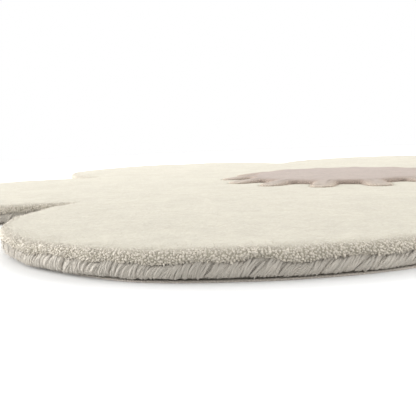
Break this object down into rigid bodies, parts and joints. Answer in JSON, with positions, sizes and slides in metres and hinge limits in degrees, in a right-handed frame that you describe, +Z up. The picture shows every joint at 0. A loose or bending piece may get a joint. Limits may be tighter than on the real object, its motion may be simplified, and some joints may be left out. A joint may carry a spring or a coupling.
{
  "type": "flower shaped rug",
  "caption": "Flat flower shaped children's rug in cut wool pile, with round petals, a raised centre ringed with small knobs, a yarn whipped edge and a cloth backing.",
  "frame": {"origin": "the flower's centre on the floor, at the middle of the underside", "axes": "+Z up from the floor through the pile, -Y along the axis of the front petal, +X to the right of it"},
  "size_m": [0.912, 1, 0.0226],
  "materials": {
    "backing_cloth": "coarse tan backing cloth, matt",
    "cream_pile": "short cut wool pile, cream, soft and matt",
    "mauve_pile": "short cut wool pile, pale mauve, soft and matt",
    "binding_yarn": "wool yarn in slanting whipped turns, greyed cream, matt"
  },
  "bodies": {
    "root": {"backing": "backing_cloth", "pile_field": "cream_pile", "centre_pile": "mauve_pile", "binding": "binding_yarn"}
  },
  "joints": []
}
